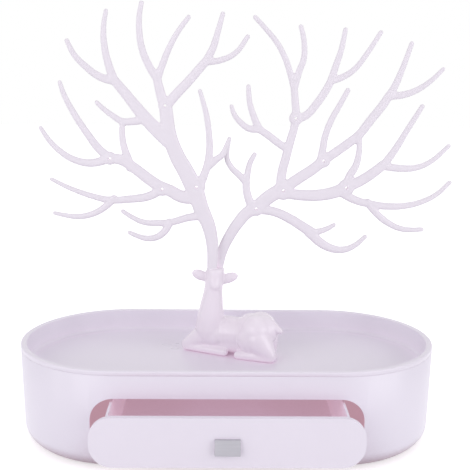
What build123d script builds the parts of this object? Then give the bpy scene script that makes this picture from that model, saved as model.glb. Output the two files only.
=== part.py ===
from build123d import *
import os
from math import asin, cos, degrees, radians, sin, tan

# Jewellery stand: a long round-ended base with a drawer, a sunken tray on top, and a resting
# deer in the tray whose two antlers branch out into a wide tree for hanging jewellery.
# Millimetres. X runs to the right, Y to the back and Z up. The origin is on the table, in
# the middle of the base. The drawer is modelled where it stands, part way open.

os.makedirs("parts", exist_ok=True)

# ---------------------------------------------------------------- driving dimensions
base_length = 260.0           # over the round ends
base_depth = 130.0            # front to back
base_height = 62.5            # table to the top of the rim
base_draft = 1.4              # degrees that the side leans in towards the table
base_corner = 11.0            # round edge under the casing
casing_wall = 2.0

foot_diameter = 12.0
foot_height = 2.2
foot_proud = 1.0              # how far the feet stand out of the casing
foot_end = 46.0               # foot's middle, in from the end of the base
foot_side = 31.0              # foot's middle, in from the front and the back

rim_height = 2.8              # band of the tray seen above the casing
rim_width = 3.8
rim_round = 0.9
tray_depth = 14.0             # rim to tray floor
tray_floor = 2.0
tray_cove = 2.5               # inside round between the tray's wall and floor
tray_gap = 0.15               # tray skirt to casing wall

opening_end = 50.5            # opening, in from each end of the base
opening_head = 0.6            # opening's upper edge, below the tray's underside
opening_corner = 14.0
opening_sill = 14.4           # table to the lower edge of the drawer opening

drawer_shown = 24.0           # how far the drawer stands open
front_gap = 1.0               # drawer front to its opening, above and below, before the drop
front_end_gap = 2.4           # drawer front to its opening, at each end
front_drop = 0.6              # front's middle, below the opening's middle
front_thickness = 3.9         # at the middle, from the round outer face to the flat back
tub_end = 11.75               # tub's side, in from the end of the opening
tub_back = 16.1               # room behind the shut tub, to the back of the base
tub_lift = 1.1                # tub's underside, above the opening's lower edge
tub_drop = 2.2                # tub's rim, below the opening's upper edge
tub_wall = 1.5
tub_corner = 8.0
tub_edge = 3.0                # round edge under the tub
slide_gap = 0.3               # under the tub
side_gap = 0.4                # each side of the tub

runner_wall = 2.0
runner_reach = 8.4            # shelf and foot, from the outside of the guide wall
runner_guide = 10.0           # guide wall above the shelf
runner_foot_end = 14.0        # foot's ends, in from the front and the back of the base
runner_front_end = 6.0        # shelf's front end, in from the front of the base
runner_back_end = 11.0
stop_height = 6.5             # stop post above the guide wall
stop_length = 4.0
lug_reach = 2.6
lug_height = 3.0
lug_length = 6.0
lug_back = 37.0               # from the tub's back wall to the lug's front face

pull_width = 14.4
pull_height = 9.4
pull_thickness = 1.8
pull_stand_off = 1.4          # finger lip in front of the fixed upper half
pull_drop = 2.65              # pull's middle, below the middle of the opening
pull_stud = 5.0               # diameter of the stud through the drawer front

screw_hole = 2.4              # pilot diameter for every small screw
screw_head = 5.0
screw_head_height = 1.8
screw_gap = 0.1

post_diameter = 9.0
post_end = 33.0               # post's middle, in from the end of the base
post_side = 38.0              # post's middle, in from the front and the back
tray_post = 16.5              # length of the tray posts, down to the casing posts
post_bore = 6.6               # the long screws' way up inside the casing posts
post_seat = 5.0               # post left above the long screws' heads
long_screw_bite = 9.0         # into the tray posts
deer_screw_bite = 9.0
front_screw_bite = 2.2
runner_head_recess = 0.9
screw_slot = 0.8

deer_turn = -24.5             # degrees, the tail end is nearer the front
deer_x = 3.3
deer_y = 11.6
head_left = 12.3              # the head's middle, from the middle of the body
head_back = 0.65
head_height = 56.5            # above the tray floor

antler_limb = 5.0             # thickness of trunks and limbs
antler_tine = 3.6             # thickness of the slim tines
antler_gap = 0.3              # between the two antlers, one in front of the other
front_screw_end = 20.0        # screw, in from the tub's side
deer_screw_places = (-13.0, 17.0)     # along the body from its middle, towards the tail
left_peg = -1.0               # across, from the head's middle
right_peg = 2.6
peg_width = 3.6
peg_thickness = 3.6
peg_length = 8.0
peg_gap = 0.05
eye_diameter = 1.8            # small holes at the forks, for hooks

# ---------------------------------------------------------------- worked-out places
casing_bottom = foot_proud
parting_z = base_height - rim_height
tray_floor_z = base_height - tray_depth
tray_under_z = tray_floor_z - tray_floor
floor_z = casing_bottom + casing_wall
post_split = tray_under_z - tray_post
post_x = base_length / 2 - post_end
post_y = base_depth / 2 - post_side
foot_x = base_length / 2 - foot_end
foot_y = base_depth / 2 - foot_side

opening_length = base_length - 2 * opening_end
opening_height = tray_under_z - opening_head - opening_sill
opening_round = min(opening_corner, 0.45 * opening_height)
opening_middle = opening_sill + opening_height / 2

front_length = opening_length - 2 * front_end_gap
front_height = opening_height - 2 * front_gap
front_corner = opening_round - front_gap
front_middle = opening_middle - front_drop
front_back_y = -base_depth / 2 + front_thickness       # drawer shut
pull_centre = opening_middle - pull_drop
tub_width = opening_length - 2 * tub_end
tub_depth = base_depth - front_thickness - tub_back
tub_height = opening_height - tub_lift - tub_drop
front_screw_x = tub_width / 2 - front_screw_end
tub_bottom = opening_sill + tub_lift
shelf_z = tub_bottom - slide_gap
tub_back_y = front_back_y + tub_depth                  # drawer shut
guide_x = tub_width / 2 + side_gap
runner_length = base_depth - 2 * runner_foot_end
runner_front = base_depth / 2 - runner_front_end
runner_back = base_depth / 2 - runner_back_end
lug_front_y = tub_back_y - lug_back                    # drawer shut
stop_back_y = -runner_front + stop_length
drawer_travel = lug_front_y - stop_back_y              # shut to the stops
guide_top = shelf_z + runner_guide
lug_z = guide_top + slide_gap

head_x = deer_x - head_left
head_y = deer_y + head_back
head_top = tray_floor_z + head_height
antler_step = antler_limb + antler_gap
left_plane_y = head_y - antler_step / 2
right_plane_y = head_y + antler_step / 2

deer_plane = Plane(
    origin=(deer_x, deer_y, tray_floor_z),
    x_dir=(cos(radians(deer_turn)), sin(radians(deer_turn)), 0),
    z_dir=(0, 0, 1),
)

print("drawer travel, shut to open:", round(drawer_travel, 2), "mm, of which open now:", drawer_shown)


def leaned_in(height):
    """How far the casing's side has moved in at a height above the table."""
    return (parting_z - height) * tan(radians(base_draft))


def slot_at(inset, height):
    """Gives a round-ended outline that lies inset from the base's outline at the rim."""
    with BuildSketch(Plane.XY.offset(height)) as outline:
        SlotOverall(base_length - 2 * inset, base_depth - 2 * inset)
    return outline.sketch


screw_seat_z = post_split - post_seat
skirt_inset = casing_wall + tray_gap + leaned_in(tray_under_z)

corner_posts = [(x, y) for x in (-post_x, post_x) for y in (-post_y, post_y)]
runner_screw_x = guide_x - (runner_reach - runner_wall) / 2
runner_screw_y = runner_length / 3
runner_screws_at = [
    (x, y) for x in (-runner_screw_x, runner_screw_x) for y in (-runner_screw_y, runner_screw_y)
]
front_screws_at = [(x, opening_middle) for x in (-front_screw_x, front_screw_x)]
deer_screws_at = [
    (deer_x + along * cos(radians(deer_turn)), deer_y + along * sin(radians(deer_turn)))
    for along in deer_screw_places
]

# ---------------------------------------------------------------- base: outer form
# The plain outside of the base, without rim or hollow: the casing and the drawer front
# are both cut from it.
with BuildPart() as outer_form:
    extrude(slot_at(0, parting_z), amount=-(parting_z - casing_bottom), taper=base_draft)
    fillet(outer_form.faces().sort_by(Axis.Z)[0].edges(), base_corner)

# ---------------------------------------------------------------- casing
with BuildPart() as casing:
    add(outer_form.part)
    offset(amount=-casing_wall, openings=casing.faces().sort_by(Axis.Z)[-1])
    with BuildSketch(Plane.XZ):
        with Locations((0, opening_middle)):
            RectangleRounded(opening_length, opening_height, opening_round)
    extrude(amount=base_depth, mode=Mode.SUBTRACT)
    with BuildSketch(Plane.XY.offset(casing_bottom + casing_wall / 2)):
        with Locations(*corner_posts):
            Circle(post_diameter / 2)
    extrude(amount=post_split - casing_bottom - casing_wall / 2)
    with BuildSketch(Plane.XY.offset(casing_bottom)):
        with Locations(*corner_posts):
            Circle(post_bore / 2)
    extrude(amount=screw_seat_z - casing_bottom, mode=Mode.SUBTRACT)
    with BuildSketch(Plane.XY.offset(screw_seat_z)):
        with Locations(*corner_posts):
            Circle(screw_hole / 2 + screw_gap)
    extrude(amount=post_split - screw_seat_z, mode=Mode.SUBTRACT)
    with BuildSketch(Plane.XY.offset(casing_bottom)):
        with GridLocations(2 * foot_x, 2 * foot_y, 2, 2):
            Circle(foot_diameter / 2 + screw_gap)
    extrude(amount=foot_height - foot_proud, mode=Mode.SUBTRACT)
    with BuildSketch(Plane.XY.offset(casing_bottom)):
        with Locations(*runner_screws_at):
            Circle(screw_head / 2 + screw_gap)
    extrude(amount=runner_head_recess, mode=Mode.SUBTRACT)
    with BuildSketch(Plane.XY.offset(casing_bottom)):
        with Locations(*runner_screws_at):
            Circle(screw_hole / 2 + screw_gap)
    extrude(amount=casing_wall, mode=Mode.SUBTRACT)
casing.part.label = "casing"
export_step(casing.part, "parts/casing.step")

# ---------------------------------------------------------------- feet
with BuildPart() as feet:
    with BuildSketch():
        with GridLocations(2 * foot_x, 2 * foot_y, 2, 2):
            Circle(foot_diameter / 2)
    extrude(amount=foot_height)
    fillet(feet.edges().group_by(Axis.Z)[0], foot_proud / 2)
feet.part.label = "rubber_feet"
export_step(feet.part, "parts/rubber_feet.step")

# ---------------------------------------------------------------- tray
with BuildPart() as tray:
    extrude(slot_at(0, parting_z), amount=rim_height)
    fillet(tray.faces().sort_by(Axis.Z)[-1].edges(), rim_round)
    extrude(slot_at(skirt_inset, tray_under_z), amount=parting_z - tray_under_z)
    with BuildPart(mode=Mode.PRIVATE) as well:
        extrude(slot_at(rim_width, tray_floor_z), amount=tray_depth)
        fillet(well.faces().sort_by(Axis.Z)[0].edges(), tray_cove)
    add(well.part, mode=Mode.SUBTRACT)
    with BuildSketch(Plane.XY.offset(post_split)):
        with Locations(*corner_posts):
            Circle(post_diameter / 2)
    extrude(amount=tray_under_z - post_split)
    with BuildSketch(Plane.XY.offset(post_split)):
        with Locations(*corner_posts):
            Circle(screw_hole / 2)
    extrude(amount=long_screw_bite, mode=Mode.SUBTRACT)
    with BuildSketch(Plane.XY.offset(tray_under_z)):
        with Locations(*deer_screws_at):
            Circle(screw_hole / 2 + screw_gap)
    extrude(amount=tray_floor, mode=Mode.SUBTRACT)
tray.part.label = "tray"
export_step(tray.part, "parts/tray.step")


def screws(places, seat_z, bite):
    """Gives small round-headed screws that point up, each head hanging under seat_z."""
    with BuildPart() as group:
        with BuildSketch(Plane.XY.offset(seat_z)):
            with Locations(*places):
                Circle(screw_head / 2)
        extrude(amount=-screw_head_height)
        fillet(group.edges().group_by(Axis.Z)[0], screw_head_height / 3)
        with BuildSketch(Plane.XY.offset(seat_z)):
            with Locations(*places):
                Circle(screw_hole / 2)
        extrude(amount=bite)
        with BuildSketch(Plane.XY.offset(seat_z - screw_head_height)):
            with Locations(*places):
                Rectangle(screw_head * 0.6, screw_slot)
                Rectangle(screw_slot, screw_head * 0.6)
        extrude(amount=screw_head_height / 2, mode=Mode.SUBTRACT)
    return group


tray_screws = screws(corner_posts, screw_seat_z, post_split - screw_seat_z + long_screw_bite)
tray_screws.part.label = "tray_screws"
export_step(tray_screws.part, "parts/tray_screws.step")

deer_screws = screws(deer_screws_at, tray_under_z, tray_floor + deer_screw_bite)
deer_screws.part.label = "deer_screws"
export_step(deer_screws.part, "parts/deer_screws.step")

runner_screws = screws(runner_screws_at, casing_bottom + runner_head_recess,
                       casing_wall - runner_head_recess + runner_wall)
runner_screws.part.label = "runner_screws"
export_step(runner_screws.part, "parts/runner_screws.step")

# ---------------------------------------------------------------- drawer runners
with BuildPart() as right_runner:
    with BuildSketch(Plane.XZ.offset(-runner_length / 2)):
        with BuildLine():
            Polyline(
                (guide_x + runner_wall, floor_z),
                (guide_x + runner_wall, shelf_z),
                (guide_x, shelf_z),
                (guide_x, floor_z + runner_wall),
                (guide_x + runner_wall - runner_reach, floor_z + runner_wall),
                (guide_x + runner_wall - runner_reach, floor_z),
                close=True,
            )
        make_face()
    extrude(amount=runner_length)
    with BuildSketch(Plane.XZ.offset(-runner_back)):
        with BuildLine():
            Polyline(
                (guide_x + runner_wall, shelf_z - runner_wall),
                (guide_x + runner_wall, guide_top),
                (guide_x, guide_top),
                (guide_x, shelf_z),
                (guide_x + runner_wall - runner_reach, shelf_z),
                (guide_x + runner_wall - runner_reach, shelf_z - runner_wall),
                close=True,
            )
        make_face()
    extrude(amount=runner_back + runner_front)
    with BuildSketch(Plane.XZ.offset(-stop_back_y)):
        with Locations((guide_x + runner_wall / 2, guide_top)):
            Rectangle(runner_wall, stop_height, align=(Align.CENTER, Align.MIN))
    extrude(amount=stop_length)
    with BuildSketch(Plane.XY.offset(floor_z)):
        with Locations(*[place for place in runner_screws_at if place[0] > 0]):
            Circle(screw_hole / 2)
    extrude(amount=runner_wall, mode=Mode.SUBTRACT)
right_runner.part.label = "right_runner"
export_step(right_runner.part, "parts/right_runner.step")

with BuildPart() as left_runner:
    mirror(right_runner.part, about=Plane.YZ)
left_runner.part.label = "left_runner"
export_step(left_runner.part, "parts/left_runner.step")

# ---------------------------------------------------------------- drawer
shown_y = -drawer_shown

with BuildPart() as drawer_tub:
    with BuildSketch(Plane.XY.offset(tub_bottom)):
        with Locations((0, front_back_y + shown_y + tub_depth / 2)):
            RectangleRounded(tub_width, tub_depth, tub_corner)
    extrude(amount=tub_height)
    fillet(drawer_tub.faces().sort_by(Axis.Z)[0].edges(), tub_edge)
    offset(amount=-tub_wall, openings=drawer_tub.faces().sort_by(Axis.Z)[-1])
    with BuildSketch(Plane.XY.offset(lug_z)):
        with Locations((0, lug_front_y + shown_y)):
            Rectangle(tub_width + 2 * lug_reach, lug_length, align=(Align.CENTER, Align.MIN))
            Rectangle(tub_width - tub_wall, lug_length, align=(Align.CENTER, Align.MIN),
                      mode=Mode.SUBTRACT)
    extrude(amount=lug_height)
    with BuildSketch(Plane.XZ.offset(-(front_back_y + shown_y + tub_wall))):
        with Locations(*front_screws_at, (0, pull_centre)):
            Circle(screw_hole / 2 + screw_gap)
    extrude(amount=tub_wall, mode=Mode.SUBTRACT)
drawer_tub.part.label = "drawer_tub"
export_step(drawer_tub.part, "parts/drawer_tub.step")

with BuildPart() as drawer_front:
    with BuildSketch(Plane.XZ.offset(-(front_back_y + shown_y))):
        with Locations((0, front_middle)):
            RectangleRounded(front_length, front_height, front_corner)
    extrude(amount=base_depth / 2)
    with Locations((0, shown_y, 0)):
        add(outer_form.part, mode=Mode.INTERSECT)
    with BuildSketch(Plane.XZ.offset(-(front_back_y + shown_y))):
        with Locations(*front_screws_at):
            Circle(screw_hole / 2)
    extrude(amount=front_screw_bite, mode=Mode.SUBTRACT)
    with BuildSketch(Plane.XZ.offset(-(front_back_y + shown_y))):
        with Locations((0, pull_centre)):
            Circle(pull_stud / 2 + screw_gap)
    extrude(amount=base_depth / 2, mode=Mode.SUBTRACT)
drawer_front.part.label = "drawer_front"
export_step(drawer_front.part, "parts/drawer_front.step")

# The pull is a small plate: its upper half lies on the front, its lower half is a lip that
# stands off for a fingertip, and a stud behind it goes through the drawer front.
pull_face_y = -base_depth / 2 + leaned_in(pull_centre + pull_height / 2) + shown_y
with BuildPart() as drawer_pull:
    with BuildSketch(Plane.YZ.offset(-pull_width / 2)):
        with BuildLine():
            Polyline(
                (pull_face_y, pull_centre + pull_height / 2),
                (pull_face_y, pull_centre),
                (pull_face_y - pull_stand_off, pull_centre - pull_height / 4),
                (pull_face_y - pull_stand_off, pull_centre - pull_height / 2),
                (pull_face_y - pull_stand_off - pull_thickness, pull_centre - pull_height / 2),
                (pull_face_y - pull_stand_off - pull_thickness, pull_centre - pull_height / 4),
                (pull_face_y - pull_thickness, pull_centre + pull_thickness / 2),
                (pull_face_y - pull_thickness, pull_centre + pull_height / 2),
                close=True,
            )
        make_face()
    extrude(amount=pull_width)
    with BuildSketch(Plane.XZ.offset(-(front_back_y + shown_y))):
        with Locations((0, pull_centre)):
            Circle(pull_stud / 2)
    extrude(amount=-(pull_face_y - front_back_y - shown_y) + pull_thickness / 2)
    with BuildSketch(Plane.XZ.offset(-(front_back_y + shown_y))):
        with Locations((0, pull_centre)):
            Circle(screw_hole / 2)
    extrude(amount=front_screw_bite, mode=Mode.SUBTRACT)
drawer_pull.part.label = "drawer_pull"
export_step(drawer_pull.part, "parts/drawer_pull.step")

with BuildPart() as drawer_screws:
    head_plane = Plane.XZ.offset(-(front_back_y + shown_y + tub_wall))
    with BuildSketch(head_plane):
        with Locations(*front_screws_at, (0, pull_centre)):
            Circle(screw_head / 2)
    extrude(amount=-screw_head_height)
    fillet(drawer_screws.edges().group_by(Axis.Y)[-1], screw_head_height / 3)
    with BuildSketch(head_plane):
        with Locations(*front_screws_at, (0, pull_centre)):
            Circle(screw_hole / 2)
    extrude(amount=tub_wall + front_screw_bite)
drawer_screws.part.label = "drawer_screws"
export_step(drawer_screws.part, "parts/drawer_screws.step")

# ---------------------------------------------------------------- deer
# Seen in its own frame: X runs from the chest to the tail, Y to the far side, Z up from the
# tray floor. The neck and head stand straight up under the antlers.


def bone(start, end, start_radius, end_radius):
    """Gives a tapering limb with round ends: two balls and the cone that touches both."""
    start, end = Vector(*start), Vector(*end)
    length = (end - start).length
    lean = (start_radius - end_radius) / length
    with BuildPart() as limb:
        with BuildSketch():
            with BuildLine():
                start_cap = CenterArc((0, 0), start_radius, 180, degrees(asin(lean)) - 90)
                end_cap = CenterArc((length, 0), end_radius, 0, 90 - degrees(asin(lean)))
                Line(start_cap @ 1, end_cap @ 1)
                Line(start_cap @ 0, end_cap @ 0)
            make_face()
        revolve(axis=Axis.X)
    sideways = (end - start).cross(Vector(0, 1, 0.2))
    return Plane(origin=start, x_dir=end - start, z_dir=sideways).location * limb.part


with BuildPart() as deer_form:
    add(bone((-13, 0, 12.5), (-2, 0, 14), 10.3, 10.6))              # chest
    add(bone((-1, 0, 14.2), (16, 0, 14.4), 10.2, 10.7))             # barrel
    for side, tucked in ((-1, 0), (1, 6)):          # the far hind leg is tucked further in
        add(bone((15.5, side * 3.8, 12.5), (18.5, side * 3.7, 18.8), 9.7, 10.0))      # haunch
        add(bone((-17, side * 5.2, 12.2), (-29.5, side * 7.6, 4.4), 7.0, 3.2))        # upper foreleg
        add(bone((-29.2, side * 7.7, 3.1), (-1, side * 8.8, 2.2), 3.1, 2.5))          # folded foreleg
        add(bone((23 - tucked, side * 6.5, 12), (31 - tucked, side * 8.0, 3.9), 7.0, 3.4))    # hock
        add(bone((30.6 - tucked, side * 8.2, 2.8), (8 - tucked, side * 10.0, 2.3), 3.1, 2.6)) # hind foot
    add(bone((25, 0, 22.5), (34, 0, 18.5), 5.0, 1.6))                                 # tail

with BuildPart() as neck_form:
    with BuildSketch(Plane.XY.offset(tray_floor_z + 14)):
        with Locations((head_x - 2.5, head_y)):
            Ellipse(9.5, 9.0)
    with BuildSketch(Plane.XY.offset(tray_floor_z + 30)):
        with Locations((head_x - 1.4, head_y)):
            Ellipse(7.8, 8.0)
    with BuildSketch(Plane.XY.offset(tray_floor_z + 45)):
        with Locations((head_x - 0.1, head_y)):
            Ellipse(5.8, 7.0)
    with BuildSketch(Plane.XY.offset(head_top)):
        with Locations((head_x, head_y)):
            Ellipse(5.9, 7.2)
    loft()

with BuildPart() as deer:
    add(deer_plane.location * deer_form.part)
    add(neck_form.part)
    for ear_root, ear_tip in (
        ((head_x - 4.5, head_y, head_top - 6.2), (head_x - 10.6, head_y, head_top - 2.8)),
        ((head_x + 4.5, head_y, head_top - 7.0), (head_x + 12.6, head_y, head_top - 4.3)),
    ):
        add(bone(ear_root, ear_tip, 2.2, 2.4))
    add(bone((head_x + 0.3, head_y - 2.0, head_top - 8.5),
             (head_x + 0.6, head_y - 6.0, head_top - 11.0), 4.6, 3.6))                # muzzle
    # flat underside on the tray, sockets for the two antlers and pilot holes for the screws
    with BuildSketch(Plane.XY.offset(tray_floor_z)):
        with Locations((deer_x, deer_y)):
            Circle(base_depth)
    extrude(amount=-base_height / 2, mode=Mode.SUBTRACT)
    with BuildSketch(Plane.XY.offset(head_top)):
        with Locations((head_x + left_peg, left_plane_y), (head_x + right_peg, right_plane_y)):
            Rectangle(peg_width + 2 * peg_gap, peg_thickness + 2 * peg_gap)
    extrude(amount=-peg_length - peg_gap, mode=Mode.SUBTRACT)
    with BuildSketch(Plane.XY.offset(tray_floor_z)):
        with Locations(*deer_screws_at):
            Circle(screw_hole / 2)
    extrude(amount=deer_screw_bite, mode=Mode.SUBTRACT)
deer.part.label = "deer"
export_step(deer.part, "parts/deer.step")

# ---------------------------------------------------------------- antlers
# Both antlers are flat trees seen from the front. Each branch is a list of points (x, z)
# along its middle, measured from the top of the head, with its widths at the root and tip.
left_trunk = [
    ([(-1, -1), (-0.8, 14), (-3, 27), (-8, 39), (-12, 51)], 6.0, 11.0),
    ([(-12, 51), (-17.5, 62), (-24, 74), (-28, 86), (-30, 101)], 11.0, 8.0),
    ([(-30, 101), (-32.5, 108), (-35.5, 120)], 7.0, 5.0),
    ([(-30, 103), (-23.5, 110.5), (-15, 119.5), (-8.5, 127), (-5, 131)], 6.0, 5.0),
    ([(-29, 82), (-40, 92.5), (-46, 99.5), (-52, 107), (-61.5, 118.5)], 9.0, 5.5),
    ([(-12, 46), (-20, 46.5), (-28, 50.5), (-34, 53), (-41.5, 58), (-50, 64.5), (-58, 69.5),
      (-66, 70.5)], 8.0, 6.0),
]
left_tines = [
    ([(-35.5, 120), (-40, 127), (-44.5, 138), (-46, 149), (-45.8, 157.5), (-44.5, 165)], 5.0, 2.7),
    ([(-35, 120), (-32.3, 127.5), (-28, 138), (-22.5, 148), (-16, 156.7)], 4.5, 2.7),
    ([(-5.5, 130), (-1, 139), (2, 149), (4.8, 159)], 5.0, 2.6),
    ([(-5, 130), (4.4, 131.5), (13, 136), (20, 145.5)], 4.0, 2.7),
    ([(-61.5, 118), (-64.7, 127), (-67.2, 138.5), (-67.6, 150), (-66, 160)], 5.4, 2.4),
    ([(-61, 118), (-70.3, 120.5), (-79.3, 127), (-86, 134), (-90, 142)], 5.2, 2.7),
    ([(-42, 95), (-50.5, 93.5), (-57, 93.5), (-63, 97), (-69, 101.5), (-72.6, 105)], 5.0, 2.4),
    ([(-57, 94), (-57.2, 85), (-56, 77), (-53.5, 69.5), (-52.5, 65)], 3.0, 5.5),
    ([(-65, 70.5), (-71, 75.5), (-79, 86), (-87.3, 99), (-93, 110.5), (-95, 117)], 5.6, 2.4),
    ([(-66, 70), (-76.3, 67.5), (-86.2, 69), (-96, 74.7), (-103, 82), (-107.5, 89)], 5.4, 2.4),
    ([(-32, 52), (-40.3, 47), (-53, 44.8), (-65.4, 44.2), (-78, 47), (-90.4, 51.5),
      (-101.7, 57)], 5.8, 2.2),
    ([(-63, 45), (-68.7, 39.6), (-77, 35), (-86, 33.4), (-94, 34.2), (-100.4, 35.6)], 4.6, 2.2),
    ([(-6, 34.5), (-16.5, 33.2), (-26.5, 30.3), (-35.3, 29.6), (-44.8, 30.2), (-51.7, 33.3),
      (-57.4, 37)], 5.0, 2.5),
    ([(-28, 30), (-31, 24.5), (-36, 20.6), (-42.4, 19.6), (-48, 21), (-53.4, 23.3)], 5.0, 2.5),
    ([(-11, 49), (-7, 58.5), (-4, 68), (-3, 76), (-3.3, 85.5), (-5, 98), (-6.8, 105),
      (-9, 112.5)], 5.6, 2.4),
    ([(-3.6, 66), (1, 70), (5, 73.2), (7.3, 78), (9.2, 83)], 4.8, 2.4),
]
left_forks = [((-30.5, 103.5), 4.4), ((-65, 70.5), 4.2), ((-32.5, 51.5), 4.6), ((-11, 53), 5.6)]

right_trunk = [
    ([(3.1, -1), (3.7, 3), (5.7, 11), (9.8, 20), (15.5, 29), (21, 35.5), (27, 39)], 5.6, 8.0),
    ([(27, 39), (35, 46), (44, 51.5)], 8.5, 9.0),
    ([(42, 51), (43, 62), (45.3, 71.5), (47.6, 81), (50, 90), (51, 97), (50.2, 107),
      (49.4, 115.5)], 6.0, 4.2),
    ([(50.5, 95), (57.5, 98), (64, 105.5), (69.3, 113.5), (72.5, 119.5)], 5.0, 4.6),
    ([(45, 52), (55, 59), (62.5, 64), (69, 69.5)], 7.0, 6.6),
    ([(68.5, 69.3), (76, 74.4), (83.6, 80), (91, 86), (98, 95.3), (104.7, 104), (109, 110.5)], 5.8, 5.2),
    ([(45, 48.5), (58, 47.2), (67.5, 47.5), (77, 49.5), (84, 52.5)], 6.4, 8.0),
    ([(83, 52.5), (91.5, 56), (99.5, 61), (107, 67)], 7.0, 6.0),
    ([(28, 38), (39, 36.3), (49, 31.8), (57, 26.8), (63, 23)], 5.4, 6.6),
]
right_tines = [
    ([(49.4, 114.5), (46.7, 124), (43.4, 133), (38, 142.5), (31.3, 150.3), (24.6, 157.3)], 4.0, 2.7),
    ([(49.6, 114.5), (52.2, 124.5), (54.9, 132), (55.3, 139), (54.2, 147), (52.8, 152)], 4.2, 2.7),
    ([(72, 118.5), (75, 128.4), (78, 138), (80.3, 150.5)], 4.6, 2.7),
    ([(72, 119), (79.7, 121.8), (87, 126.8), (94, 136), (102.2, 149)], 4.2, 2.7),
    ([(44.5, 77.5), (39.4, 81), (33.7, 85.3), (28, 89)], 4.6, 4.6),
    ([(28, 89), (24.7, 96.5), (22, 105), (21, 115.3)], 4.6, 2.7),
    ([(28.5, 89), (21.7, 89.3), (16.6, 92.8), (12.2, 98.3), (10.6, 103)], 4.6, 2.4),
    ([(67, 69), (68.3, 76.2), (69.6, 84.5), (73, 94.5), (78, 104), (83, 113.5)], 4.8, 3.0),
    ([(108.5, 109.5), (112.3, 116.5), (116.3, 126.5), (121.6, 142.5)], 5.0, 2.7),
    ([(108.5, 110.3), (117, 111), (126.2, 114.2), (134.7, 120), (142, 127.2)], 4.8, 2.4),
    ([(91.4, 85), (91.4, 75), (89.8, 67), (85.6, 59), (84, 53)], 3.0, 5.6),
    ([(107, 66.5), (114, 76.6), (120.6, 88), (130, 104)], 5.2, 2.8),
    ([(106.5, 66.5), (117.8, 65), (127.4, 65.4), (136.7, 69.2), (148, 79.4)], 5.0, 2.5),
    ([(80.5, 49.5), (90, 44.5), (99.7, 42), (111.3, 40.5), (122.2, 41), (132.3, 43.5),
      (142.3, 48.8), (149.9, 56.2)], 5.4, 2.6),
    ([(98, 43), (105, 35), (111.7, 29.8), (119.6, 26.2), (126.8, 25.3), (133.6, 25.7)], 4.8, 2.6),
    ([(62.5, 23.2), (68.2, 24.1), (73.3, 26), (76.9, 28.2)], 4.2, 2.6),
    ([(61, 23.5), (69.7, 15.8), (77, 12.5), (83.4, 12), (91, 15), (97.3, 20.7)], 6.4, 2.6),
    ([(24.5, 38.5), (21.3, 47), (20.3, 53.5), (21, 60), (22.6, 67.6), (25.4, 73)], 5.6, 2.8),
    ([(20.6, 55), (15.7, 60), (10.6, 65), (8, 70.6), (8.3, 77), (9.5, 83)], 4.4, 2.3),
]
right_forks = [((51, 96), 4.4), ((69, 69.5), 4.6), ((84, 52.5), 5.4), ((44, 50.5), 6.4), ((27, 38.6), 5.0)]


def branch_outline(middle_points, root_width, tip_width):
    """Works out the two sides, the round tip and the round root of a tapering branch."""
    middle = Spline(*[Vector(x, z) for x, z in middle_points])
    steps = 2 * len(middle_points)
    one_side, other_side = [], []
    for step in range(steps + 1):
        share = step / steps
        half = (root_width + (tip_width - root_width) * share) / 2
        across = (middle % share).rotate(Axis.Z, 90) * half
        one_side.append(middle @ share + across)
        other_side.append(middle @ share - across)
    tip = middle @ 1 + (middle % 1) * tip_width / 2
    root = middle @ 0 - (middle % 0) * root_width / 2
    return one_side, tip, other_side, root


def branches_sketch(branches, plane, discs=()):
    """Gives one outline on a plane, made of tapering branches and round fork discs."""
    outlines = [branch_outline(*branch) for branch in branches]
    with BuildSketch(plane) as tree:
        for one_side, tip, other_side, root in outlines:
            with BuildLine():
                Spline(*one_side)
                ThreePointArc(one_side[-1], tip, other_side[-1])
                Spline(*reversed(other_side))
                ThreePointArc(other_side[0], root, one_side[0])
            make_face()
        for place, disc_radius in discs:
            with Locations(place):
                Circle(disc_radius)
    return tree.sketch


def antler(trunk, tines, forks, plane_y, peg_x):
    """Gives one flat antler with its peg, thick along the trunk and thinner in the tines."""
    plane = Plane(origin=(head_x, plane_y, head_top), x_dir=(1, 0, 0), z_dir=(0, -1, 0))
    with BuildPart() as tree:
        extrude(branches_sketch(trunk, plane, forks), amount=antler_limb / 2, both=True)
        extrude(branches_sketch(tines, plane), amount=antler_tine / 2, both=True)
        with BuildSketch(Plane.XY.offset(head_top)):
            with Locations((head_x, plane_y)):
                Rectangle(base_depth, antler_limb + antler_gap)
        extrude(amount=-base_height, mode=Mode.SUBTRACT)
        with BuildSketch(Plane.XY.offset(head_top)):
            with Locations((head_x + peg_x, plane_y)):
                Rectangle(peg_width, peg_thickness)
        extrude(amount=-peg_length)
        with BuildSketch(plane):
            with Locations(*[place for place, disc_radius in forks]):
                Circle(eye_diameter / 2)
        extrude(amount=antler_limb, both=True, mode=Mode.SUBTRACT)
    return tree


left_antler = antler(left_trunk, left_tines, left_forks, left_plane_y, left_peg)
left_antler.part.label = "left_antler"
export_step(left_antler.part, "parts/left_antler.step")

right_antler = antler(right_trunk, right_tines, right_forks, right_plane_y, right_peg)
right_antler.part.label = "right_antler"
export_step(right_antler.part, "parts/right_antler.step")
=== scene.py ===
"""Looks of a jewellery stand: a deer with branching antlers in a tray on a base with a drawer."""

from __future__ import annotations

import logging
import math
from dataclasses import dataclass
from enum import Enum

import bmesh
import bpy
from mathutils import Matrix, Vector

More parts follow.
